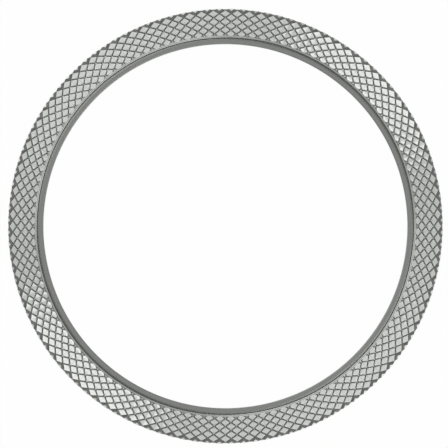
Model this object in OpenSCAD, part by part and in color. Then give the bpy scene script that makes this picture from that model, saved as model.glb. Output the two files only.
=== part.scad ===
// Rotating watch bezel: a knurled ring that clicks round on a fixed inner ring.
// Millimetres, +Z out of the watch. The origin is the middle of the underside, where the bezel sits on the case.

/* [Main sizes] */
// Diameter of the clear opening, which is also the crystal seat
sight_d = 33.44; // [32:0.02:36]
// Thickness of the skirt of the knurled ring, measured over the knurl tips
skirt_t = 0.8; // [0.7:0.01:0.95]
// Thickness of the lip of the knurled ring, from its underside to the rim
lip_t = 0.75; // [0.7:0.01:1]

/* [Visible rings] */
// Width of the plain flat top of the fixed ring
band_w = 0.49; // [0.4:0.01:0.6]
// Running gap between the fixed ring and the rim of the knurled ring
rim_gap = 0.1; // [0.05:0.01:0.1]
// Width of the plain flat rim of the knurled ring
land_w = 0.19; // [0.16:0.01:0.3]
// How far the flat top of the fixed ring lies below the rim
band_drop = 0.12; // [0.05:0.01:0.3]

/* [Knurl] */
// Diamonds in one turn of the knurl
knurl_count = 112; // [96:2:124]
// Depth of the knurl, square to the surface
knurl_depth = 0.15; // [0.12:0.01:0.2]
// Slope of the knurled face in degrees
face_tilt = 43.5; // [42:0.5:48]
// How far each row of the wall stands inside the row above it
wall_taper = 0.06; // [0.02:0.01:0.1]

/* [Click] */
// Clicks in one turn of the bezel
click_count = 120; // [60:12:120]
// Depth of the click teeth
tooth_depth = 0.2; // [0.15:0.01:0.22]
// Width of a click tooth at its mouth
tooth_w = 0.75; // [0.7:0.01:0.8]
// Diameter of the click balls
ball_d = 0.8; // [0.76:0.02:0.84]
// Wire diameter of the click springs
spring_wire_d = 0.12; // [0.1:0.01:0.13]
// Turns of a click spring
spring_turns = 3; // [2.5:0.5:3.5]

/* [Seats] */
// Width of the shoulder between the case bore and the crystal seat
case_step = 0.28; // [0.2:0.01:0.4]
// Depth of the bore that presses over the neck of the case
case_seat_h = 1.2; // [1:0.05:1.5]
// Thickness of the flange that rests on the case
flange_h = 1.4; // [1.3:0.02:1.6]

/* [Hidden] */
$fn = 180;

// Clearances and small widths
run_gap = 0.05;
click_gap = 0.08;
skirt_gap = 0.1;
lip_gap = 0.1;
skirt_lift = 0.15;
seat_relief = 0.06;
edge_break = 0.05;
lead_in = 0.15;
past = 1;

// Radii, from the opening outwards
collar_w = 0.8;
hub_w = 0.23;
click_hub_w = 0.5;
tooth_margin = 0.25;
ball_margin = 0.03;
pocket_play = 0.02;
skirt_step = 0.35;
sight_r = sight_d / 2;
case_seat_r = sight_r + case_step;
band_r = sight_r + band_w;
rim_r = band_r + rim_gap;
land_r = rim_r + land_w;
collar_r = sight_r + collar_w;
lip_bore_r = collar_r + run_gap;
hub_r = collar_r + hub_w;
click_bore_r = hub_r + run_gap;
click_hub_r = click_bore_r + click_hub_w;
click_r = click_bore_r + ball_d + tooth_margin;
detent_r = click_r - ball_d / 2 - ball_margin;
pocket_r = ball_d / 2 + pocket_play;
skirt_r = click_r + skirt_step;
flange_r = skirt_r - skirt_gap;
tip_r = skirt_r + skirt_t;

// Heights, from the case upwards
click_flange_t = 0.42;
click_hub_h = 0.97;
collar_h = 0.75;
pocket_z = 0.2;
click_z = flange_h + click_gap;
click_flange_z = click_z + click_flange_t;
ledge_z = click_z + click_hub_h;
step_z = ledge_z - run_gap;
shoulder_z = step_z + collar_h;
lip_z = shoulder_z + lip_gap;
height = lip_z + lip_t;
band_z = height - band_drop;

// Retaining wire, half in the click ring and half in the fixed ring
wire_d = 0.4;
wire_play = 0.03;
wire_bite = 0.05;
wire_seat = 0.02;
wire_mouth = 8;
wire_r = click_bore_r;
wire_z = (click_z + tooth_depth + ledge_z) / 2;
wire_low_z = wire_z - wire_d / 2 - wire_play;
wire_high_z = wire_z + wire_d / 2 + wire_play;
wire_out_r = wire_r + wire_d / 2 + wire_seat;
wire_in_r = wire_r - wire_d / 2 - wire_bite;

// Friction gasket and its groove
gasket_d = 0.4;
gasket_play = 0.03;
gasket_seat = 0.02;
gasket_r = lip_bore_r - gasket_play - gasket_d / 2;
gasket_z = step_z + collar_h / 2;
gasket_low_z = gasket_z - gasket_d / 2 - gasket_play;
gasket_high_z = gasket_z + gasket_d / 2 + gasket_play;
gasket_in_r = gasket_r - gasket_d / 2 - gasket_seat;

// Balls rest in the teeth with a hair of play
tooth_slope = atan(tooth_depth / (tooth_w / 2));
tooth_play = 0.01;
ball_r = ball_d / 2;
ball_z = click_z + tooth_depth - ball_r / cos(tooth_slope) - tooth_play;

// Knurl rows. On the sloping face each row grows by a constant ratio, so that the diamonds keep their shape
half_count = 2 * knurl_count;
half_step = 180 / knurl_count;
row_ratio = exp(PI / knurl_count * cos(face_tilt));
first_row_margin = 0.15;
face_rows = floor(ln(tip_r / (land_r + first_row_margin)) / ln(row_ratio));
corner_z = height - (tip_r - land_r) * tan(face_tilt);
wall_drop = PI * tip_r / knurl_count;
wall_tilt = 90 - atan(wall_taper / wall_drop);
foot_margin = 0.1;
foot_bevel = 0.06;
wall_rows = floor((corner_z - skirt_lift - foot_margin) / wall_drop);
foot_r = tip_r - wall_rows * wall_taper - knurl_depth - foot_bevel;

function face_z(r) = height - (r - land_r) * tan(face_tilt);

// One row of the face: radius, height, slope of the surface there, depth at its low points and at its high points
function face_row(k) =
  let (r = tip_r / pow(row_ratio, k))
  [r, face_z(r), k == 0 ? (face_tilt + wall_tilt) / 2 : face_tilt, knurl_depth, 0];
function wall_row(k) =
  [tip_r - k * wall_taper, corner_z - k * wall_drop, wall_tilt, knurl_depth, 0];

// The row where the grooves run out against the plain rim, part of the way to one more row of diamonds
runout_w = 0.03;
runout_r = land_r + runout_w;
runout_part = min(1, ln(face_row(face_rows)[0] / runout_r) / ln(row_ratio));
runout_depth = knurl_depth / cos(face_tilt);
runout_row = [runout_r, face_z(runout_r), 0, runout_depth * (1 - runout_part), runout_depth * runout_part];

rows = concat(
  [runout_row],
  [for (k = [face_rows:-1:0]) face_row(k)],
  [for (k = [1:1:wall_rows]) wall_row(k)]
);

// The low and high points alternate round a row, and swap from one row to the next
function is_low(row_index, j) = (row_index + j) % 2 == 1;
function row_parity(i) = i == 0 ? 1 : i;
function knurl_point(i, j) =
  let (
    row = rows[i],
    sink = is_low(row_parity(i), j) ? row[3] : row[4],
    r = row[0] - sink * sin(row[2]),
    z = row[1] - sink * cos(row[2]),
    a = j * half_step
  )
  [r * cos(a), r * sin(a), z];
function plain_circle(r, z) = [for (j = [0:half_count - 1]) [r * cos(j * half_step), r * sin(j * half_step), z]];

knurl_points = concat(
  plain_circle(land_r, height),
  [for (i = [0:len(rows) - 1]) for (j = [0:half_count - 1]) knurl_point(i, j)],
  plain_circle(foot_r, skirt_lift)
);
circle_count = len(rows) + 2;

// Each cell is split between its two low corners, so every high point becomes a four-sided pyramid
function cell_faces(i, j) =
  let (
    next = (j + 1) % half_count,
    a = i * half_count + j,
    b = i * half_count + next,
    c = (i + 1) * half_count + next,
    d = (i + 1) * half_count + j,
    low_a = i == 0 ? is_low(1, j) : i == 1 ? is_low(1, j) : is_low(row_parity(i - 1), j)
  )
  low_a ? [[a, b, c], [a, c, d]] : [[a, b, d], [b, c, d]];

knurl_faces = concat(
  [[for (j = [half_count - 1:-1:0]) j]],
  [[for (j = [0:half_count - 1]) (circle_count - 1) * half_count + j]],
  [for (i = [0:circle_count - 2]) for (j = [0:half_count - 1]) each cell_faces(i, j)]
);

// The ring that is turned: knurled outside, stepped inside for the click ring, the collar and the rim
module knurled_ring() {
  color([0.72, 0.73, 0.72])
  difference() {
    polyhedron(knurl_points, knurl_faces);
    rotate_extrude()
      polygon([
        [0, -past],
        [skirt_r, -past],
        [skirt_r, click_z - seat_relief],
        [click_r, click_z - seat_relief],
        [click_r, click_flange_z],
        [click_hub_r, click_flange_z],
        [click_hub_r, ledge_z],
        [lip_bore_r, ledge_z],
        [lip_bore_r, lip_z],
        [rim_r, lip_z],
        [rim_r, height - edge_break],
        [rim_r + edge_break, height],
        [rim_r + edge_break, height + past],
        [0, height + past]
      ]);
  }
}

// The space between two click teeth, a V that runs straight out across the ring
module tooth_cut() {
  translate([click_bore_r - past, 0, click_z])
  rotate([90, 0, 90])
  linear_extrude(click_r - click_bore_r + 2 * past)
    polygon([
      [-tooth_w / 2, 0],
      [-tooth_w / 2, -past],
      [tooth_w / 2, -past],
      [tooth_w / 2, 0],
      [0, tooth_depth]
    ]);
}

// The toothed ring pressed up into the knurled ring. Its inner groove holds the retaining wire
module click_ring() {
  color([0.62, 0.62, 0.60])
  difference() {
    rotate_extrude()
      polygon([
        [click_bore_r, click_z],
        [click_r, click_z],
        [click_r, click_flange_z],
        [click_hub_r, click_flange_z],
        [click_hub_r, ledge_z],
        [click_bore_r, ledge_z],
        [click_bore_r, wire_high_z],
        [wire_out_r, wire_high_z],
        [wire_out_r, wire_low_z],
        [click_bore_r, wire_low_z]
      ]);
    for (i = [0:click_count - 1])
      rotate([0, 0, i * 360 / click_count])
        tooth_cut();
  }
}

// Split snap wire that keeps the knurled ring on
module retaining_wire() {
  color([0.55, 0.56, 0.58])
  rotate([0, 0, 45 + wire_mouth / 2])
  rotate_extrude(angle = 360 - wire_mouth)
  translate([wire_r, wire_z])
    circle(d = wire_d, $fn = 24);
}

// The fixed ring: flange on the case, stepped collar, and the plain flat top that shows
module base_ring() {
  color([0.51, 0.51, 0.50])
  difference() {
    rotate_extrude()
      polygon([
        [case_seat_r + lead_in, 0],
        [flange_r - edge_break, 0],
        [flange_r, edge_break],
        [flange_r, flange_h],
        [hub_r, flange_h],
        [hub_r, wire_low_z],
        [wire_in_r, wire_low_z],
        [wire_in_r, wire_high_z],
        [hub_r, wire_high_z],
        [hub_r, step_z - edge_break],
        [hub_r - edge_break, step_z],
        [collar_r, step_z],
        [collar_r, gasket_low_z],
        [gasket_in_r, gasket_low_z],
        [gasket_in_r, gasket_high_z],
        [collar_r, gasket_high_z],
        [collar_r, shoulder_z - edge_break],
        [collar_r - edge_break, shoulder_z],
        [band_r, shoulder_z],
        [band_r, band_z],
        [sight_r, band_z],
        [sight_r, case_seat_h],
        [case_seat_r, case_seat_h],
        [case_seat_r, lead_in]
      ]);
    for (i = [0:3])
      rotate([0, 0, i * 90])
      translate([detent_r, 0, pocket_z])
        cylinder(r = pocket_r, h = flange_h, $fn = 48);
  }
}

// Rubber ring that gives the turning its drag
module friction_gasket() {
  color([0.08, 0.08, 0.08])
  rotate_extrude()
  translate([gasket_r, gasket_z])
    circle(d = gasket_d, $fn = 24);
}

module detent_ball(i) {
  color([0.8, 0.8, 0.82])
  rotate([0, 0, i * 90])
  translate([detent_r, 0, ball_z])
    sphere(r = ball_r, $fn = 36);
}

// Click spring: one unbroken tube, with a closed turn at each end and open turns between
spring_sides = 6;
turn_rings = 12;
spring_play = 0.08;
spring_seat = 0.005;
spring_r = pocket_r - spring_play - spring_wire_d / 2;
spring_low_z = pocket_z + spring_wire_d / 2 + spring_seat;
spring_touch = ball_r + spring_wire_d / 2 + spring_seat;
spring_high_z = ball_z - sqrt(spring_touch * spring_touch - spring_r * spring_r);
spring_rings = ceil(spring_turns * turn_rings);
closed_turns = 0.7;
closed_pitch = 1.08 * spring_wire_d;
closed_rise = closed_turns * closed_pitch;
spring_rise = spring_high_z - spring_low_z;
open_turns = spring_turns - 2 * closed_turns;
function spring_z(t) =
  t < closed_turns ? t / closed_turns * closed_rise :
  t > spring_turns - closed_turns ? spring_rise - (spring_turns - t) / closed_turns * closed_rise :
  closed_rise + (t - closed_turns) / open_turns * (spring_rise - 2 * closed_rise);

// Each ring of the tube is a small upright hexagon across the wire
function spring_point(k, s) =
  let (
    t = k * spring_turns / spring_rings,
    a = 360 * t,
    b = 360 * s / spring_sides,
    r = spring_r + spring_wire_d / 2 * cos(b),
    z = spring_low_z + spring_z(t) + spring_wire_d / 2 * sin(b)
  )
  [r * cos(a), r * sin(a), z];
spring_points = [for (k = [0:spring_rings]) for (s = [0:spring_sides - 1]) spring_point(k, s)];
spring_faces = concat(
  [[for (s = [0:spring_sides - 1]) s]],
  [[for (s = [spring_sides - 1:-1:0]) spring_rings * spring_sides + s]],
  [for (k = [0:spring_rings - 1]) for (s = [0:spring_sides - 1])
    let (
      next = (s + 1) % spring_sides,
      a = k * spring_sides + s,
      b = k * spring_sides + next,
      c = (k + 1) * spring_sides + next,
      d = (k + 1) * spring_sides + s
    )
    each [[a, d, b], [b, d, c]]]
);
coil_gap = (spring_rise - 2 * closed_rise) / open_turns - spring_wire_d;
echo(least_gap_between_open_turns_mm = coil_gap);

module detent_spring(i) {
  color([0.6, 0.6, 0.62])
  rotate([0, 0, i * 90])
  translate([detent_r, 0, 0])
    polyhedron(spring_points, spring_faces);
}

knurled_ring();
click_ring();
retaining_wire();
base_ring();
friction_gasket();
detent_ball(0);  // detent_ball_1
detent_ball(1);  // detent_ball_2
detent_ball(2);  // detent_ball_3
detent_ball(3);  // detent_ball_4
detent_spring(0);  // detent_spring_1
detent_spring(1);  // detent_spring_2
detent_spring(2);  // detent_spring_3
detent_spring(3);  // detent_spring_4
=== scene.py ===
import logging
import math
from dataclasses import dataclass
from enum import Enum, auto
from typing import Callable, Iterable, Sequence

import bmesh
import bpy
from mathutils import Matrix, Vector


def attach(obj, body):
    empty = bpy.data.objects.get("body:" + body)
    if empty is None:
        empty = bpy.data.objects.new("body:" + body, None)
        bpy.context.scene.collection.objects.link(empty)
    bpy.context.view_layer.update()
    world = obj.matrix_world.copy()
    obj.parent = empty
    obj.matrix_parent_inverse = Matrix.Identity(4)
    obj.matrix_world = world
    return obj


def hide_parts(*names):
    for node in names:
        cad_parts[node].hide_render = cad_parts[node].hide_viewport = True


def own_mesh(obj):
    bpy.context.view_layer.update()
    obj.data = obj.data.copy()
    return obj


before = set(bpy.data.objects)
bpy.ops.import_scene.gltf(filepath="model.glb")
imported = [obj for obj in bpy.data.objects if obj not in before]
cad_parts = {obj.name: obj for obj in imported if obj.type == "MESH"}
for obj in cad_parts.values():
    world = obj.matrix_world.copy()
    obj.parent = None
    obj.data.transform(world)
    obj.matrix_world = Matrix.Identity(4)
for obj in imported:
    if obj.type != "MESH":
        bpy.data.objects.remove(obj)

LOG = logging.getLogger("bezel")
MM = 0.001
ORIGIN = (0.0, 0.0, 0.0)
SAME_POINT_MM = 1e-4
SAME_LEVEL_MM = 1e-3

Profile = Sequence[tuple[float, float]]
Color = tuple[float, float, float, float]


class Element(Enum):
    """What a selection is made of: the name is Blender's select mode, the value the mesh's list of them."""

    VERT = "verts"
    EDGE = "edges"
    FACE = "faces"


class Cut(Enum):
    """How a second solid is used on a workpiece."""

    AWAY = "DIFFERENCE"
    JOIN = "UNION"


class Body(Enum):
    """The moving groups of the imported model."""

    BASE = "base"
    BEZEL = "bezel"


class Corner(Enum):
    """Where a point of a small tip lies, in a diamond that is folded over the corner of the ring."""

    UPPER = auto()
    SIDE = auto()
    LOWER = auto()


# ---------------------------------------------------------------- shader bench


class Signal:
    """A shader socket that can be used in sums, so that masks read like formulas."""

    def __init__(self, bench: "ShaderBench", socket: bpy.types.NodeSocket) -> None:
        """Wrap one output socket.

        Args:
            bench: The bench that adds the nodes.
            socket: The output socket that carries the value.
        """
        self.bench = bench
        self.socket = socket

    def _math(self, operation: str, *values: "Signal | float") -> "Signal":
        """Add one Math node and return its output."""
        settings = {"operation": operation}
        return self.bench.node("ShaderNodeMath", settings, dict(enumerate(values)))

    def __add__(self, other: "Signal | float") -> "Signal":
        """Sum."""
        return self._math("ADD", self, other)

    __radd__ = __add__

    def __mul__(self, other: "Signal | float") -> "Signal":
        """Product."""
        return self._math("MULTIPLY", self, other)

    def __sub__(self, other: "Signal | float") -> "Signal":
        """Difference."""
        return self._math("SUBTRACT", self, other)

    def __rsub__(self, other: "Signal | float") -> "Signal":
        """Difference from a number."""
        return self._math("SUBTRACT", other, self)

    def larger(self, other: "Signal | float") -> "Signal":
        """The larger of two values."""
        return self._math("MAXIMUM", self, other)

    def smaller(self, other: "Signal | float") -> "Signal":
        """The smaller of two values."""
        return self._math("MINIMUM", self, other)

    def mixed(self, other: "Signal", share: float) -> "Signal":
        """A share of this value and the rest of another."""
        return self * share + other * (1 - share)

    def ramp(self, low: float, high: float) -> "Signal":
        """A soft step from 0 at low to 1 at high.

        Args:
            low: Value where the step starts.
            high: Value where the step is complete.

        Returns:
            The step, from 0 to 1.
        """
        settings = {"interpolation_type": "SMOOTHSTEP"}
        inputs = {"Value": self, "From Min": low, "From Max": high}
        return self.bench.node("ShaderNodeMapRange", settings, inputs)


class ShaderBench:
    """The shader nodes of a material or of the world, while they are put together."""

    def __init__(self, owner: bpy.types.Material | bpy.types.World) -> None:
        """Clear the nodes of their owner.

        Args:
            owner: The material or world that the nodes belong to.
        """
        owner.use_nodes = True
        self.owner = owner
        self.tree = owner.node_tree
        self.tree.nodes.clear()

    @classmethod
    def of_material(cls, name: str) -> "ShaderBench":
        """Start a new material."""
        return cls(bpy.data.materials.new(name))

    def node(self, kind: str, settings: dict, inputs: dict, output: int | str = 0) -> Signal:
        """Add a node of any type.

        Args:
            kind: The node's type name.
            settings: Properties that are set before the inputs.
            inputs: Values or signals by socket name or number.
            output: Name or number of the output that is returned.

        Returns:
            The chosen output.
        """
        node = self.tree.nodes.new(kind)
        for key, value in settings.items():
            setattr(node, key, value)
        for key, value in inputs.items():
            if isinstance(value, Signal):
                self.tree.links.new(value.socket, node.inputs[key])
            else:
                node.inputs[key].default_value = value
        return Signal(self, node.outputs[output])

    def place_mm(self) -> Signal:
        """The place on the piece in millimetres."""
        place = self.node("ShaderNodeTexCoord", {}, {}, "Object")
        return self.node("ShaderNodeVectorMath", {"operation": "SCALE"}, {0: place, "Scale": 1.0 / MM})

    def part(self, vector: Signal, axis: str) -> Signal:
        """One coordinate of a vector."""
        return self.node("ShaderNodeSeparateXYZ", {}, {0: vector}, axis)

    def radius(self, place: Signal) -> Signal:
        """Distance from the turning axis."""
        flat = self.node("ShaderNodeVectorMath", {"operation": "MULTIPLY"}, {0: place, 1: (1.0, 1.0, 0.0)})
        return self.node("ShaderNodeVectorMath", {"operation": "LENGTH"}, {0: flat}, "Value")

    def grain(self, place: Signal, scale: float, detail: float = 2.0) -> Signal:
        """Cloudy noise from 0 to 1, with a number of clouds to the millimetre."""
        inputs = {"Vector": place, "Scale": scale, "Detail": detail, "Roughness": 0.55}
        return self.node("ShaderNodeTexNoise", {"noise_dimensions": "3D"}, inputs)

    def rings(self, radius: Signal, wander: Signal, per_mm: float) -> Signal:
        """Fine lathe lines round the axis, from 0 to 1."""
        inputs = {"W": radius + wander, "Scale": per_mm, "Detail": 3.0, "Roughness": 0.6}
        return self.node("ShaderNodeTexNoise", {"noise_dimensions": "1D"}, inputs)

    def tint(self, amount: Signal, low: Signal | Color, high: Signal | Color) -> Signal:
        """A colour between two, by an amount from 0 to 1."""
        inputs = {0: amount, 6: low, 7: high}
        return self.node("ShaderNodeMix", {"data_type": "RGBA"}, inputs, 2)

    def relief(self, height: Signal, strength: float, depth_mm: float, under: Signal | None = None) -> Signal:
        """A normal from a height map.

        Args:
            height: Height from 0 to 1.
            strength: How strongly the relief shows.
            depth_mm: Depth of the relief in millimetres.
            under: A relief that lies below this one.

        Returns:
            The normal.
        """
        inputs: dict = {"Height": height, "Strength": strength, "Distance": depth_mm * MM}
        if under is not None:
            inputs["Normal"] = under
        return self.node("ShaderNodeBump", {}, inputs)

    def finish(
        self, color: Signal, rough: Signal, normal: Signal, metallic: float = 1.0
    ) -> bpy.types.Material:
        """Close the material with one surface shader.

        Args:
            color: The base colour.
            rough: The roughness.
            normal: The normal of the surface.
            metallic: 1 for metal, 0 for anything else.

        Returns:
            The material.
        """
        inputs = {"Metallic": metallic, "Base Color": color, "Roughness": rough, "Normal": normal}
        self.put_out(self.node("ShaderNodeBsdfPrincipled", {}, inputs))
        return self.owner

    def put_out(self, shader: Signal, kind: str = "ShaderNodeOutputMaterial") -> None:
        """Join a shader to the output of the material or of the world."""
        output = self.tree.nodes.new(kind)
        self.tree.links.new(shader.socket, output.inputs["Surface"])


def grey(value: float, warmth: float = 0.0) -> Color:
    """A near neutral colour; warmth above 0 leans to yellow."""
    return (value * (1 + warmth), value, value * (1 - 2 * warmth), 1.0)


def steel(value: float) -> Color:
    """The tone of plain steel, a little green in white light."""
    return (value * 0.975, value, value * 0.962, 1.0)


# ---------------------------------------------------------------- finishes


@dataclass(frozen=True)
class Specks:
    """Fine specks in a surface: how many, how much they change the roughness, and their relief."""

    per_mm: float
    spread: float
    strength: float
    depth_mm: float
    detail: float = 3.0

    def show(self, bench: ShaderBench, place: Signal) -> Signal:
        """The specks, from 0 to 1."""
        return bench.grain(place, self.per_mm, self.detail)

    def rough(self, speck: Signal) -> Signal:
        """What the specks add to the roughness, or take from it."""
        return (speck - 0.5) * self.spread

    def relief(self, bench: ShaderBench, speck: Signal) -> Signal:
        """The normal that the specks give."""
        return bench.relief(speck, self.strength, self.depth_mm)


@dataclass(frozen=True)
class LatheLines:
    """Fine lines that a turning tool leaves round the axis."""

    per_mm: float
    wander: float = 0.03
    spread: float = 0.14
    middle: float = 0.5
    strength: float = 0.5
    depth_mm: float = 0.004

    def show(self, bench: ShaderBench, along: Signal, cloud: Signal) -> Signal:
        """The lines, from 0 to 1, spaced along a distance in millimetres and drawn off it by the clouds."""
        return bench.rings(along, cloud * self.wander, self.per_mm)

    def rough(self, lathe: Signal, where: Signal | None = None) -> Signal:
        """What the lines add to the roughness, everywhere or where a mask is 1."""
        line = lathe - self.middle
        return (line if where is None else where * line) * self.spread

    def relief(self, bench: ShaderBench, lathe: Signal, under: Signal) -> Signal:
        """The normal that the lines give over a finer one."""
        return bench.relief(lathe, self.strength, self.depth_mm, under)


@dataclass(frozen=True)
class KnurledSteel:
    """Bright steel: turned on the rim, knurled outside it, with painted shade in the grooves and on the wall
    of the running gap. Sizes in millimetres.
    """

    name: str = "knurled_steel"
    light: float = 0.495
    dark: float = 0.448
    # painted shade: the grooves' darker colour stands in for the shadow down in them
    groove: float = 0.330
    rim_tone: float = 0.503
    # painted shade: dark grey that stands in for the shadow in the running gap
    gap: float = 0.32
    roughness: float = 0.20
    groove_rough: float = 0.03
    clouds_per_mm: float = 0.55
    cloud_share: float = 0.6
    specks: Specks = Specks(9.0, spread=0.10, strength=0.25, depth_mm=0.004)
    lines: LatheLines = LatheLines(22.0, wander=0.02, spread=0.16, middle=0.4, depth_mm=0.006)
    gap_shade_radius: float = 17.32
    gap_shade_blend: float = 0.01
    gap_shade_heights: tuple[float, float] = (3.93, 3.97)
    rim_radius: float = 17.52
    rim_blend: float = 0.03
    # depths under the tips over which the painted groove shade comes in
    groove_shade_depths: tuple[float, float] = (0.03, 0.10)
    land_radius: float = 17.50
    height: float = 4.0
    face_tilt: float = 43.5
    tip_radius: float = 20.0
    corner_z: float = 1.628
    wall_lean: float = 0.107

    def depth(self, radius: Signal, z: Signal) -> Signal:
        """How deep a point lies under the tips of the knurl, in millimetres.

        Args:
            radius: Distance from the axis.
            z: Height.

        Returns:
            The depth.
        """
        tilt = math.radians(self.face_tilt)
        face = (self.height - z) * math.cos(tilt) - (radius - self.land_radius) * math.sin(tilt)
        wall = self.tip_radius - radius - (self.corner_z - z).larger(0.0) * self.wall_lean
        return face.smaller(wall)

    def color(self, bench: ShaderBench, metal: Signal, rim: Signal, low: Signal, in_gap: Signal) -> Signal:
        """The colour, from plain metal to the rim, with painted shade in the grooves and on the wall of the
        gap.

        Args:
            bench: The bench that adds the nodes.
            metal: Colour of the tips.
            rim: 1 on the plain rim.
            low: 1 down in the grooves, where shade is painted.
            in_gap: 1 on the wall of the running gap, where shade is painted.

        Returns:
            The colour.
        """
        turned_rim = bench.tint(rim, metal, steel(self.rim_tone))
        # painted shade: darker colour down in the grooves, then dark grey on the gap wall
        with_groove_shade = bench.tint(low, turned_rim, steel(self.groove))
        return bench.tint(in_gap, with_groove_shade, grey(self.gap))

    def material(self) -> bpy.types.Material:
        """Build the material."""
        bench = ShaderBench.of_material(self.name)
        place = bench.place_mm()
        radius, z = bench.radius(place), bench.part(place, "Z")
        outside = radius.ramp(self.rim_radius, self.rim_radius + self.rim_blend)
        # painted shade mask: 1 down in the grooves, outside the rim
        low = self.depth(radius, z).ramp(*self.groove_shade_depths) * outside
        rim = 1 - radius.ramp(self.rim_radius - self.rim_blend, self.rim_radius)
        inside = 1 - radius.ramp(self.gap_shade_radius, self.gap_shade_radius + self.gap_shade_blend)
        # painted shade mask: the inner wall of the rim, below its top edge
        in_gap = inside * (1 - z.ramp(*self.gap_shade_heights))
        cloud = bench.grain(place, self.clouds_per_mm)
        speck = self.specks.show(bench, place)
        lathe = self.lines.show(bench, radius, cloud)
        metal = bench.tint(cloud.mixed(speck, self.cloud_share), steel(self.dark), steel(self.light))
        groove_rough = self.roughness + low * self.groove_rough
        rough = groove_rough + self.specks.rough(speck) + self.lines.rough(lathe, rim)
        normal = self.lines.relief(bench, lathe * rim, self.specks.relief(bench, speck))
        return bench.finish(self.color(bench, metal, rim, low, in_gap), rough, normal)


@dataclass(frozen=True)
class TurnedSteel:
    """Satin steel off the lathe, with fine lines round the axis."""

    name: str
    light: float = 0.337
    dark: float = 0.298
    roughness: float = 0.30
    clouds_per_mm: float = 0.4
    cloud_share: float = 0.4
    specks: Specks = Specks(12.0, spread=0.08, strength=0.2, depth_mm=0.003)
    lines: LatheLines = LatheLines(26.0)

    def material(self) -> bpy.types.Material:
        """Build the material."""
        bench = ShaderBench.of_material(self.name)
        place = bench.place_mm()
        cloud = bench.grain(place, self.clouds_per_mm)
        speck = self.specks.show(bench, place)
        lathe = self.lines.show(bench, bench.radius(place) + bench.part(place, "Z"), cloud)
        metal = bench.tint(cloud.mixed(lathe, self.cloud_share), steel(self.dark), steel(self.light))
        rough = self.roughness + self.lines.rough(lathe) + self.specks.rough(speck)
        normal = self.lines.relief(bench, lathe, self.specks.relief(bench, speck))
        return bench.finish(metal, rough, normal)


@dataclass(frozen=True)
class DrawnSteel:
    """Smooth drawn or lapped steel for wire, springs and balls."""

    name: str
    tone: float = 0.6
    roughness: float = 0.18
    tone_range: tuple[float, float] = (0.9, 1.05)
    clouds_per_mm: float = 1.2
    specks: Specks = Specks(14.0, spread=0.12, strength=0.15, depth_mm=0.002)

    def material(self) -> bpy.types.Material:
        """Build the material."""
        bench = ShaderBench.of_material(self.name)
        place = bench.place_mm()
        speck = self.specks.show(bench, place)
        dark, light = (steel(self.tone * share) for share in self.tone_range)
        metal = bench.tint(bench.grain(place, self.clouds_per_mm), dark, light)
        rough = self.roughness + self.specks.rough(speck)
        return bench.finish(metal, rough, self.specks.relief(bench, speck))


@dataclass(frozen=True)
class BlackRubber:
    """Matt black rubber, a little dusty."""

    name: str = "black_rubber"
    tone: float = 0.018
    dust_tone: float = 0.045
    dust_warmth: float = 0.02
    dust_per_mm: float = 0.9
    dust_levels: tuple[float, float] = (0.5, 0.75)
    dust_share: float = 0.5
    roughness: float = 0.62
    specks: Specks = Specks(16.0, spread=0.2, strength=0.4, depth_mm=0.006, detail=4.0)

    def material(self) -> bpy.types.Material:
        """Build the material."""
        bench = ShaderBench.of_material(self.name)
        place = bench.place_mm()
        speck = self.specks.show(bench, place)
        dust = bench.grain(place, self.dust_per_mm).ramp(*self.dust_levels)
        dusty = grey(self.dust_tone, self.dust_warmth)
        color = bench.tint(dust * self.dust_share, grey(self.tone), dusty)
        rough = self.roughness + self.specks.rough(speck)
        return bench.finish(color, rough, self.specks.relief(bench, speck), metallic=0.0)


# ---------------------------------------------------------------- modelling bench


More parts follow.
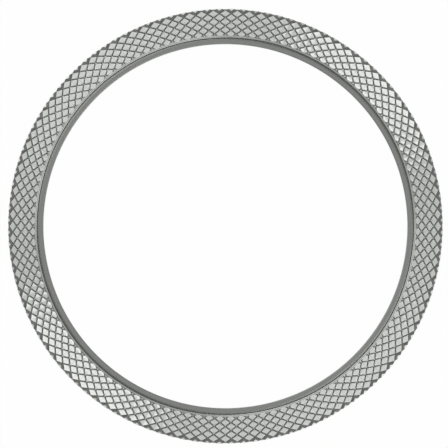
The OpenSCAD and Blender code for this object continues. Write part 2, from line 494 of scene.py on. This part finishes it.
class Workpiece:
    """A mesh on the bench. It is shaped in millimetres and brought to metres when it is taken off."""

    def __init__(self, body: bpy.types.Object, at: tuple[float, float] = (0.0, 0.0)) -> None:
        """Take an object on the bench, in edit mode.

        Args:
            body: The object.
            at: Radius and height of the circle that is pulled next, where there is one.
        """
        self.body = body
        self.at = at
        bpy.ops.object.mode_set(mode="EDIT")

    @classmethod
    def ring(cls, name: str, radius: float, z: float, sides: int) -> "Workpiece":
        """Start from a bare circle round the axis.

        Args:
            name: Name of the piece.
            radius: Radius of the circle.
            z: Height of the circle.
            sides: Number of its points.

        Returns:
            The workpiece, with the circle selected.
        """
        bpy.ops.object.select_all(action="DESELECT")
        bpy.ops.mesh.primitive_circle_add(vertices=sides, radius=radius, fill_type="NOTHING", location=ORIGIN)
        body = bpy.context.active_object
        body.name = body.data.name = name
        piece = cls(body, (radius, z))
        piece.select(Element.VERT, lambda _: True)
        bpy.ops.transform.translate(value=(0, 0, z))
        return piece

    def numbered(self) -> bmesh.types.BMesh:
        """The mesh as it is now, with its points numbered afresh."""
        mesh = bmesh.from_edit_mesh(self.body.data)
        mesh.verts.index_update()
        return mesh

    def select(self, kind: Element, test: Callable[[object], bool]) -> None:
        """Select the elements that pass a test, and nothing else.

        Args:
            kind: What is selected.
            test: True for an element that is wanted.
        """
        bpy.context.tool_settings.mesh_select_mode = tuple(kind is each for each in Element)
        mesh = bmesh.from_edit_mesh(self.body.data)
        mesh.select_mode = {kind.name}
        for element in (*mesh.faces, *mesh.edges, *mesh.verts):
            element.select_set(False)
        for element in [element for element in getattr(mesh, kind.value) if test(element)]:
            element.select_set(True)
        mesh.select_flush_mode()
        bmesh.update_edit_mesh(self.body.data)

    def pull(self, radius: float, z: float) -> None:
        """Extrude the selected circle to a new radius and height."""
        old_radius, old_z = self.at
        bpy.ops.mesh.extrude_edges_move(TRANSFORM_OT_translate={"value": (0, 0, z - old_z)})
        scale = radius / old_radius
        bpy.ops.transform.resize(value=(scale, scale, 1), center_override=ORIGIN)
        self.at = (radius, z)

    def move_to(self, chosen: Callable[[bmesh.types.BMVert], bool], radius: float, z: float) -> None:
        """Select points that share one radius and height, and bring them to another.

        Args:
            chosen: True for a point that is moved.
            radius: New distance from the axis.
            z: New height.
        """
        self.select(Element.VERT, chosen)
        mesh = bmesh.from_edit_mesh(self.body.data)
        point = next(vert.co.copy() for vert in mesh.verts if vert.select)
        scale = radius / math.hypot(point.x, point.y)
        bpy.ops.transform.translate(value=(0, 0, z - point.z))
        bpy.ops.transform.resize(value=(scale, scale, 1), center_override=ORIGIN)

    def cap(self, z: float) -> None:
        """Close the open circle at a height with a flat face."""
        self.select(
            Element.EDGE, lambda edge: edge.is_boundary and abs(edge.verts[0].co.z - z) < SAME_LEVEL_MM
        )
        bpy.ops.mesh.edge_face_add()

    def weld(self) -> None:
        """Merge points that lie on each other."""
        self.select(Element.VERT, lambda _: True)
        bpy.ops.mesh.remove_doubles(threshold=SAME_POINT_MM)

    def face_out(self) -> None:
        """Turn every face outwards."""
        self.select(Element.FACE, lambda _: True)
        bpy.ops.mesh.normals_make_consistent(inside=False)

    def off_bench(self) -> bpy.types.Object:
        """Leave edit mode and return the object."""
        bpy.ops.object.mode_set(mode="OBJECT")
        return self.body


def turned(name: str, profile: Profile, sides: int, closed: bool) -> bpy.types.Object:
    """A solid turned from a profile of radius and height.

    Args:
        name: Name of the piece.
        profile: Points of the profile, in millimetres.
        sides: Number of flats round the axis.
        closed: True for a ring whose profile ends where it starts; False for a solid with two flat caps.

    Returns:
        The turned object, in millimetres.
    """
    piece = Workpiece.ring(name, *profile[0], sides=sides)
    for radius, z in profile[1:]:
        piece.pull(radius, z)
    if closed:
        piece.pull(*profile[0])
        piece.weld()
    else:
        for _, z in (profile[0], profile[-1]):
            piece.cap(z)
    piece.face_out()
    return piece.off_bench()


def pick(body: bpy.types.Object) -> None:
    """Select one object alone and make it the active one."""
    bpy.ops.object.select_all(action="DESELECT")
    body.select_set(True)
    bpy.context.view_layer.objects.active = body


def combine(body: bpy.types.Object, other: bpy.types.Object, cut: Cut) -> None:
    """Cut one solid with another, or join it on, and clear the second away.

    Args:
        body: The solid that is kept.
        other: The solid that is used up.
        cut: Whether it is cut away or joined.
    """
    pick(body)
    tool = body.modifiers.new(cut.name.title(), "BOOLEAN")
    tool.operation = cut.value
    tool.solver = "MANIFOLD"
    tool.object = other
    bpy.ops.object.modifier_apply(modifier=tool.name)
    bpy.data.objects.remove(other)


def settle(body: bpy.types.Object, material: bpy.types.Material, smooth_angle: float) -> None:
    """Bring a finished piece to metres, smooth its shading and give it its material.

    Args:
        body: The piece, in millimetres.
        material: Its material.
        smooth_angle: Edges sharper than this many degrees stay sharp.
    """
    pick(body)
    body.scale = (MM, MM, MM)
    bpy.ops.object.transform_apply(location=True, rotation=True, scale=True)
    bpy.ops.object.shade_smooth_by_angle(angle=math.radians(smooth_angle))
    body.data.materials.clear()
    body.data.materials.append(material)


def dress(nodes: Iterable[str], material: bpy.types.Material) -> None:
    """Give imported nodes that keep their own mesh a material.

    Args:
        nodes: Names of the nodes.
        material: The material they get.
    """
    for name in nodes:
        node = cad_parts[name]
        if node.material_slots:
            for slot in node.material_slots:
                slot.material = material
        else:
            node.data.materials.append(material)


# ---------------------------------------------------------------- the sub-assemblies


@dataclass(frozen=True)
class KnurledRing:
    """The ring that is turned by hand: a plain rim, a knurled slope and a knurled skirt.

    Sizes in millimetres. Rows of the knurl are counted up the slope from row 0 on the corner of the ring, and
    down the skirt below 0. Even rows have their groove crossings at whole pitches.
    """

    tip_radius: float = 20.0
    land_radius: float = 17.50
    rim_radius: float = 17.31
    rim_foot: float = 3.25
    height: float = 4.0
    diamonds: int = 112
    top_row: int = 8
    foot_row: int = -4
    tilt: float = 43.5
    depth: float = 0.15
    wall_taper: float = 0.06
    crossing_flat: float = 0.10
    corner_reach: float = 0.1
    pad_area: float = 0.1
    groove_half: float = 0.09
    flank_rise: float = 0.117
    edge_width: float = 0.045
    edge_rise: float = 0.022
    dish: float = 0.05
    crown: float = 0.012
    corner_groove: float = 0.25
    corner_cut: float = 0.04
    tip_reach: float = 0.275
    tip_side: float = 0.015
    tip_foot: float = 0.03
    sides: int = 336
    smooth_angle: float = 20
    finish: KnurledSteel = KnurledSteel()

    def row_radius(self, row: int) -> float:
        """Radius of a row of tips on the slope; row 0 is the outermost."""
        ratio = math.exp(math.pi / self.diamonds * math.cos(math.radians(self.tilt)))
        return self.tip_radius / ratio**row

    def valley(self, row: int) -> tuple[float, float]:
        """Radius and height of the groove crossings of a row; rows below 0 are on the wall."""
        drop = math.pi * self.tip_radius / self.diamonds
        wall_tilt = math.degrees(math.atan2(drop, self.wall_taper))
        radius = self.tip_radius + min(row, 0) * self.wall_taper if row <= 0 else self.row_radius(row)
        slope_radius = self.tip_radius if row <= 0 else radius
        z = self.height - (slope_radius - self.land_radius) * math.tan(math.radians(self.tilt))
        z += min(row, 0) * drop
        tilt = wall_tilt if row < 0 else self.tilt if row > 0 else (wall_tilt + self.tilt) / 2
        return (
            radius - self.depth * math.sin(math.radians(tilt)),
            z - self.depth * math.cos(math.radians(tilt)),
        )

    def pitches(self, vert: bmesh.types.BMVert) -> float:
        """How many diamonds a point lies round from the X axis."""
        return math.atan2(vert.co.y, vert.co.x) / math.tau * self.diamonds

    def on_full_row(self, vert: bmesh.types.BMVert) -> bool:
        """True for a point at a whole number of pitches, where an even row has its groove crossings."""
        turns = self.pitches(vert)
        return abs(turns - round(turns)) < 0.1

    def on_corner(self, vert: bmesh.types.BMVert) -> bool:
        """True for a groove crossing on the corner of the ring."""
        return abs(vert.co.z - self.valley(0)[1]) < SAME_LEVEL_MM

    def is_crossed(self, edge: bmesh.types.BMEdge) -> bool:
        """True for an old edge that runs across a diamond, other than along the corner of the ring."""
        if edge.is_boundary or all(map(self.on_corner, edge.verts)):
            return False
        return all(map(self.on_full_row, edge.verts))

    def is_folded(self, face: bmesh.types.BMFace) -> bool:
        """True for the halves of the diamonds that are folded over the corner."""
        return sum(map(self.on_corner, face.verts)) > 1

    def net(self) -> Workpiece:
        """The net of grooves: even rows are pulled, each cell is poked, and the old edges are dissolved."""
        piece = Workpiece.ring("knurled_ring_turned", *self.valley(self.top_row), sides=self.diamonds)
        for row in range(self.top_row - 2, self.foot_row - 1, -2):
            piece.pull(*self.valley(row))
        piece.face_out()
        bpy.ops.mesh.poke(offset=0.0)
        piece.select(Element.EDGE, self.is_crossed)
        bpy.ops.mesh.dissolve_edges(use_verts=False, use_face_split=False)
        low_z = self.valley(-1)[1] - self.corner_reach
        high_z = self.valley(1)[1] + self.corner_reach
        piece.select(Element.VERT, lambda vert: not vert.is_boundary and not low_z < vert.co.z < high_z)
        bpy.ops.mesh.bevel(offset=self.crossing_flat, segments=1, affect="VERTICES")
        return piece

    def pads(self, piece: Workpiece) -> None:
        """Raise a pad with broken edges in each flat diamond."""
        piece.select(Element.FACE, lambda face: face.calc_area() > self.pad_area and not self.is_folded(face))
        bpy.ops.mesh.inset(thickness=self.groove_half, depth=self.flank_rise, use_individual=True)
        bpy.ops.mesh.inset(thickness=self.edge_width, depth=self.edge_rise, use_individual=True)
        bpy.ops.mesh.poke(offset=self.crown)

    def hollow(self, piece: Workpiece) -> None:
        """Sink the middle line of each new pad on the slope, so that its two halves lean to each other."""
        mesh = piece.numbered()
        tops = {vert for face in mesh.faces if face.select for vert in face.verts}
        low_z = self.valley(1)[1] - 0.2
        middle = [vert for vert in tops if vert.co.z > low_z and abs(self.pitches(vert) * 2 % 1 - 0.5) > 0.3]
        self.slide(piece, middle, 0.0, self.dish)

    def corner_of(self, vert: bmesh.types.BMVert) -> Corner:
        """Where a point of a small tip lies."""
        if not abs(self.pitches(vert) % 1 - 0.5) < 0.02:
            return Corner.SIDE
        return Corner.UPPER if vert.co.z > self.valley(0)[1] else Corner.LOWER

    def tip_places(self) -> dict[Corner, tuple[float, float]]:
        """Radius and height that the points of the small tips are brought to."""
        tilt = math.radians(self.tilt)
        edge_z = self.height - (self.tip_radius - self.land_radius) * math.tan(tilt)
        up, back = self.tip_reach * math.sin(tilt), self.tip_reach * math.cos(tilt)
        return {
            Corner.UPPER: (self.tip_radius - back, edge_z + up),
            Corner.SIDE: (self.tip_radius - self.tip_side, edge_z),
            Corner.LOWER: (self.tip_radius - self.tip_foot, edge_z - self.tip_reach),
        }

    def corner_tips(self, piece: Workpiece) -> None:
        """Raise a small tip in each diamond that is folded over the corner."""
        piece.select(Element.FACE, self.is_folded)
        bpy.ops.mesh.inset(thickness=self.corner_groove)
        mesh = piece.numbered()
        groups: dict[Corner, set[int]] = {corner: set() for corner in Corner}
        for vert in {vert for face in mesh.faces if face.select for vert in face.verts}:
            groups[self.corner_of(vert)].add(vert.index)
        for corner, place in self.tip_places().items():
            piece.move_to(lambda vert, group=groups[corner]: vert.index in group, *place)

    def trim_last_row(self, piece: Workpiece) -> None:
        """Draw the outer points of the last full row of pads in, away from the corner of the ring."""
        mesh = piece.numbered()
        low, high = self.valley(0)[1] + 0.1, self.valley(1)[1] - 0.05
        outer = [vert for vert in mesh.verts if low < vert.co.z < high and self.on_full_row(vert)]
        self.slide(piece, outer, -self.corner_cut, 0.0)

    def slide(self, piece: Workpiece, chosen: Iterable[bmesh.types.BMVert], out: float, sink: float) -> None:
        """Move points of the slope together, ring by ring.

        Args:
            piece: The workpiece.
            chosen: The points.
            out: How far they go down the slope.
            sink: How far they go into the metal.
        """
        rings: dict[tuple[float, float], set[int]] = {}
        for vert in chosen:
            key = (round(math.hypot(vert.co.x, vert.co.y), 3), round(vert.co.z, 3))
            rings.setdefault(key, set()).add(vert.index)
        cos, sin = math.cos(math.radians(self.tilt)), math.sin(math.radians(self.tilt))
        for (radius, z), ring in rings.items():
            piece.move_to(
                lambda vert, ring=ring: vert.index in ring,
                radius + out * cos - sink * sin, z - out * sin - sink * cos,
            )

    def cutter_profile(self) -> Profile:
        """What is turned away: the stepped bore, the slope inside the rim and the foot of the skirt."""
        return (
            (21.0, -1.0), (21.0, 1.27), (19.67, 0.15), (19.20, 0.15), (19.20, 1.42), (18.85, 1.42),
            (18.85, 1.90), (18.30, 1.90), (18.30, 2.45), (17.57, 2.45), (17.57, 3.25), (17.40, 3.25),
            (17.40, 3.90), (17.49, 3.90), (17.49, 5.0),
        )

    def rim_profile(self) -> Profile:
        """The plain rim, with broken edges."""
        inner, outer, top, foot = self.rim_radius, self.land_radius, self.height, self.rim_foot
        return (
            (inner, foot), (inner, top - 0.05), (inner + 0.015, top - 0.015), (inner + 0.05, top),
            (outer - 0.035, top), (outer - 0.01, top - 0.01), (outer, top - 0.035), (outer, foot),
        )

    def build(self) -> bpy.types.Object:
        """Model the ring."""
        piece = self.net()
        self.pads(piece)
        self.hollow(piece)
        self.corner_tips(piece)
        self.trim_last_row(piece)
        for row in (self.top_row, self.foot_row):
            piece.cap(self.valley(row)[1])
        piece.face_out()
        body = piece.off_bench()
        combine(body, turned("bore_cutter", self.cutter_profile(), self.sides, closed=False), Cut.AWAY)
        combine(body, turned("rim_blank", self.rim_profile(), self.sides, closed=True), Cut.JOIN)
        settle(body, self.finish.material(), self.smooth_angle)
        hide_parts("knurled_ring")
        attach(body, Body.BEZEL.value)
        return body


@dataclass(frozen=True)
class BaseRing:
    """The fixed ring that sits on the case; its flat top shows inside the rim. Sizes in millimetres."""

    sides: int = 360
    smooth_angle: float = 32
    pockets: int = 4
    pocket_orbit: float = 18.42
    pocket_radius: float = 0.42
    pocket_floor: float = 0.2
    drill_length: float = 2.0
    drill_sides: int = 48
    finish: TurnedSteel = TurnedSteel("satin_steel")

    def profile(self) -> Profile:
        """Half section of the ring, with its broken edges."""
        return (
            (17.15, 0.0), (19.05, 0.0), (19.085, 0.015), (19.10, 0.05), (19.10, 1.40), (17.75, 1.40),
            (17.75, 1.835), (17.55, 1.835), (17.55, 2.295), (17.75, 2.295), (17.75, 2.35), (17.70, 2.40),
            (17.52, 2.40), (17.52, 2.545), (17.12, 2.545), (17.12, 3.005), (17.52, 3.005), (17.52, 3.10),
            (17.47, 3.15), (17.21, 3.15), (17.21, 3.86), (17.204, 3.874), (17.19, 3.88), (16.74, 3.88),
            (16.726, 3.874), (16.72, 3.86), (16.72, 1.20), (17.0, 1.20), (17.0, 0.15),
        )

    def drill(self, angle: float) -> bpy.types.Object:
        """A cylinder that stands on the floor of the pocket at an angle, and cuts it."""
        x, y = self.pocket_orbit * math.cos(angle), self.pocket_orbit * math.sin(angle)
        bpy.ops.object.select_all(action="DESELECT")
        bpy.ops.mesh.primitive_cylinder_add(
            vertices=self.drill_sides, radius=self.pocket_radius, depth=self.drill_length,
            location=(x, y, self.pocket_floor + self.drill_length / 2),
        )
        bpy.ops.object.transform_apply(location=True, rotation=True, scale=True)
        return bpy.context.active_object

    def build(self) -> bpy.types.Object:
        """Model the ring and its four blind pockets."""
        body = turned("base_ring_turned", self.profile(), self.sides, closed=True)
        for index in range(self.pockets):
            combine(body, self.drill(math.tau * index / self.pockets), Cut.AWAY)
        settle(body, self.finish.material(), self.smooth_angle)
        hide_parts("base_ring")
        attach(body, Body.BASE.value)
        return body


@dataclass(frozen=True)
class ClickSprings:
    """The four small coil springs under the click balls. Sizes in millimetres."""

    count: int = 4
    orbit: float = 18.42
    coil_radius: float = 0.28
    wire_radius: float = 0.06
    low_z: float = 0.265
    high_z: float = 0.845
    turns: float = 3.0
    closed_turns: float = 0.7
    closed_pitch: float = 0.13
    steps_per_turn: int = 24
    wire_sides: int = 10
    travel: float = 0.14
    smooth_angle: float = 60
    finish: DrawnSteel = DrawnSteel("spring_steel", tone=0.44, roughness=0.2)

    def rise(self, turn: float) -> float:
        """Height of the wire's middle over its start after some turns."""
        span = self.high_z - self.low_z
        closed = self.closed_turns * self.closed_pitch
        if turn < self.closed_turns:
            return turn * self.closed_pitch
        if turn > self.turns - self.closed_turns:
            return span - (self.turns - turn) * self.closed_pitch
        share = (turn - self.closed_turns) / (self.turns - 2 * self.closed_turns)
        return closed + share * (span - 2 * closed)

    def coil(self, name: str) -> bpy.types.Object:
        """Model one spring: the wire's end is a disc that is extruded and turned step by step."""
        bpy.ops.object.select_all(action="DESELECT")
        start = (self.coil_radius, 0, self.low_z)
        bpy.ops.mesh.primitive_circle_add(
            vertices=self.wire_sides, radius=self.wire_radius, fill_type="NGON", location=start,
            rotation=(math.pi / 2, 0, 0),
        )
        body = bpy.context.active_object
        body.name = body.data.name = name
        bpy.ops.object.transform_apply(location=True, rotation=True, scale=True)
        piece = Workpiece(body)
        piece.select(Element.FACE, lambda _: True)
        for step in range(round(self.turns * self.steps_per_turn)):
            turn, after = step / self.steps_per_turn, (step + 1) / self.steps_per_turn
            lift = self.rise(after) - self.rise(turn)
            bpy.ops.mesh.extrude_region_move(TRANSFORM_OT_translate={"value": (0, 0, lift)})
            bpy.ops.transform.rotate(
                value=-math.tau / self.steps_per_turn, orient_axis="Z", center_override=ORIGIN
            )
        piece.face_out()
        return piece.off_bench()

    def build(self) -> list[bpy.types.Object]:
        """Model one spring and copy it under each ball."""
        first = self.coil("click_spring_1")
        bpy.ops.object.select_all(action="DESELECT")
        material = self.finish.material()
        springs = [first]
        for index in range(1, self.count):
            copy = first.copy()
            copy.data = first.data.copy()
            copy.name = copy.data.name = f"click_spring_{index + 1}"
            bpy.context.scene.collection.objects.link(copy)
            springs.append(copy)
        for index, spring in enumerate(springs):
            angle = math.tau * index / self.count
            spring.location = (self.orbit * MM * math.cos(angle), self.orbit * MM * math.sin(angle), 0)
            spring.rotation_euler = (0, 0, angle)
            settle(spring, material, self.smooth_angle)
            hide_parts(f"detent_spring_{index + 1}")
            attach(spring, Body.BASE.value)
            f"ball_{index + 1}_press"
            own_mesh(spring)
        return springs


@dataclass(frozen=True)
class HiddenParts:
    """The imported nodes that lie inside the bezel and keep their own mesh, with their finishes."""

    click: TurnedSteel = TurnedSteel(
        "click_steel", light=0.46, dark=0.41, roughness=0.28, lines=LatheLines(14.0, strength=0.4)
    )
    wire: DrawnSteel = DrawnSteel("retaining_wire_steel", tone=0.42, roughness=0.24)
    rubber: BlackRubber = BlackRubber()
    ball: DrawnSteel = DrawnSteel("ball_steel", tone=0.57, roughness=0.08)
    ball_count: int = 4

    def build(self) -> None:
        """Give each node its finish."""
        dress(["click_ring"], self.click.material())
        dress(["retaining_wire"], self.wire.material())
        dress(["friction_gasket"], self.rubber.material())
        dress([f"detent_ball_{index + 1}" for index in range(self.ball_count)], self.ball.material())


# ---------------------------------------------------------------- the studio


def area_lamp(name: str, wide: float, high: float, radiance: float) -> bpy.types.Object:
    """A rectangular lamp that the camera doesn't see, not yet put in its place.

    Args:
        name: Name of the lamp.
        wide: Width in metres.
        high: Height in metres.
        radiance: Brightness of its face.

    Returns:
        The lamp.
    """
    data = bpy.data.lights.new(name, "AREA")
    data.shape = "RECTANGLE"
    data.size, data.size_y = wide, high
    data.energy = radiance * math.pi * data.size * data.size_y
    lamp = bpy.data.objects.new(data.name, data)
    lamp.visible_camera = False
    bpy.context.scene.collection.objects.link(lamp)
    return lamp


@dataclass(frozen=True)
class Softbox:
    """A rectangular soft lamp aimed at the middle of the object.

    Azimuth, elevation and the two sides are in degrees, as seen from the object; the distance is in metres.
    """

    azimuth: float
    elevation: float
    wide: float
    high: float
    radiance: float
    distance: float = 0.6

    def side(self, angle: float) -> float:
        """Length of a side that is seen under an angle, in metres."""
        return 2 * self.distance * math.tan(math.radians(angle / 2))

    def place(self) -> None:
        """Put the lamp up."""
        name = f"softbox_{self.azimuth:.0f}_{self.elevation:.0f}"
        lamp = area_lamp(name, self.side(self.wide), self.side(self.high), self.radiance)
        azimuth, elevation = math.radians(self.azimuth), math.radians(self.elevation)
        direction = Vector((
            math.cos(elevation) * math.cos(azimuth),
            math.cos(elevation) * math.sin(azimuth),
            math.sin(elevation),
        ))
        lamp.location = direction * self.distance
        lamp.rotation_euler = direction.to_track_quat("Z", "Y").to_euler()


@dataclass(frozen=True)
class Reflector:
    """A white card that lies on the table beside the object and is seen only in its metal.

    The azimuth is in degrees, all sizes in metres.
    """

    azimuth: float
    inner: float
    length: float
    width: float
    radiance: float
    lift: float = 0.0003

    def place(self) -> None:
        """Lay the card down, with its bright side up."""
        card = area_lamp(f"reflector_{self.azimuth:.0f}", self.length, self.width, self.radiance)
        azimuth, middle = math.radians(self.azimuth), self.inner + self.length / 2
        card.location = (middle * math.cos(azimuth), middle * math.sin(azimuth), self.lift)
        card.rotation_euler = (math.pi, 0, azimuth)


@dataclass(frozen=True)
class Studio:
    """White floor, soft lamps and a long lens straight above the object. Lengths in metres."""

    camera_height: float = 1.5
    camera_x: float = -0.128436 * MM
    camera_y: float = 0.201828 * MM
    picture_px: int = 448
    px_per_mm: float = 10.8965
    focus_z: float = 3.86 * MM
    sensor_mm: float = 36
    clip: tuple[float, float] = (0.01, 100)
    ambient: float = 0.26
    floor_size: float = 6.0
    floor_drop: float = 0.00001
    floor_tone: float = 0.8
    floor_glow: float = 0.98
    floor_in_metal: float = 0.98
    low_lamps: int = 8
    low_elevation: float = 11.0
    low_radiance: tuple[float, ...] = (0.863, 1.764, 0.967, 1.046)
    tall_azimuths: tuple[float, ...] = (135.0, 315.0)
    tall_radiance: float = 1.568
    top_radiance: float = 0.418
    card_radiance: float = 0.915

    def lamps(self) -> list[Softbox | Reflector]:
        """A ring of low panels, two tall softboxes with a card on the table before each, and a top lamp."""
        step = 360 / self.low_lamps
        ring = [
            Softbox(index * step, self.low_elevation, step, 2 * self.low_elevation, radiance)
            for index, radiance in enumerate(self.low_radiance * 2)
        ]
        tall = [
            Softbox(azimuth, elevation=54, wide=60, high=24, radiance=self.tall_radiance)
            for azimuth in self.tall_azimuths
        ]
        cards = [
            Reflector(azimuth, inner=0.0205, length=0.10, width=0.06, radiance=self.card_radiance)
            for azimuth in self.tall_azimuths
        ]
        overhead = Softbox(azimuth=0, elevation=90, wide=40, high=40, radiance=self.top_radiance)
        return [*ring, *tall, *cards, overhead]

    def glow_share(self, bench: ShaderBench) -> Signal:
        """How white the floor is: most to the eye, as much in polished metal, and matt for all other rays."""
        camera, glossy, through = (
            bench.node("ShaderNodeLightPath", {}, {}, f"Is {kind} Ray")
            for kind in ("Camera", "Glossy", "Transmission")
        )
        return camera.larger(through) * self.floor_glow + glossy * self.floor_in_metal

    def floor(self) -> None:
        """Lay the floor: white to the eye, with the object's soft shadow left on it."""
        bpy.ops.object.select_all(action="DESELECT")
        bpy.ops.mesh.primitive_plane_add(size=self.floor_size, location=(0, 0, -self.floor_drop))
        floor = bpy.context.active_object
        floor.name = "floor"
        bench = ShaderBench.of_material("white_floor")
        matt = bench.node("ShaderNodeBsdfDiffuse", {}, {"Color": grey(self.floor_tone)})
        glow = bench.node("ShaderNodeEmission", {}, {"Color": grey(1.0), "Strength": 1.0})
        bench.put_out(bench.node("ShaderNodeMixShader", {}, {0: self.glow_share(bench), 1: matt, 2: glow}))
        floor.data.materials.append(bench.owner)

    def sky(self) -> None:
        """Even light from all round, white where it is seen straight."""
        world = bpy.data.worlds.new("studio")
        bpy.context.scene.world = world
        bench = ShaderBench(world)
        camera = bench.node("ShaderNodeLightPath", {}, {}, "Is Camera Ray")
        strength = self.ambient + camera * (1 - self.ambient)
        light = bench.node("ShaderNodeBackground", {}, {"Color": grey(1.0), "Strength": strength})
        bench.put_out(light, "ShaderNodeOutputWorld")

    def camera(self) -> None:
        """Hang the camera straight above, with the picture's scale true at the height in focus."""
        frame_width = self.picture_px / self.px_per_mm * MM
        data = bpy.data.cameras.new("camera")
        data.sensor_width = self.sensor_mm
        data.lens = data.sensor_width * (self.camera_height - self.focus_z) / frame_width
        data.clip_start, data.clip_end = self.clip
        camera = bpy.data.objects.new("camera", data)
        camera.location = (self.camera_x, self.camera_y, self.camera_height)
        bpy.context.scene.collection.objects.link(camera)
        bpy.context.scene.camera = camera

    def build(self) -> None:
        """Set the studio up."""
        bpy.context.scene.view_settings.view_transform = "Standard"
        self.floor()
        self.sky()
        for lamp in self.lamps():
            lamp.place()
        self.camera()


def main() -> None:
    """Build the pieces in order, set up the studio and report."""
    logging.basicConfig(level=logging.INFO, format="%(name)s: %(message)s")
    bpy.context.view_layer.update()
    pieces = [BaseRing().build(), KnurledRing().build(), *ClickSprings().build()]
    HiddenParts().build()
    for piece in pieces:
        LOG.info("%s: %d faces", piece.name, len(piece.data.polygons))
    Studio().build()


if __name__ == "__main__":
    main()
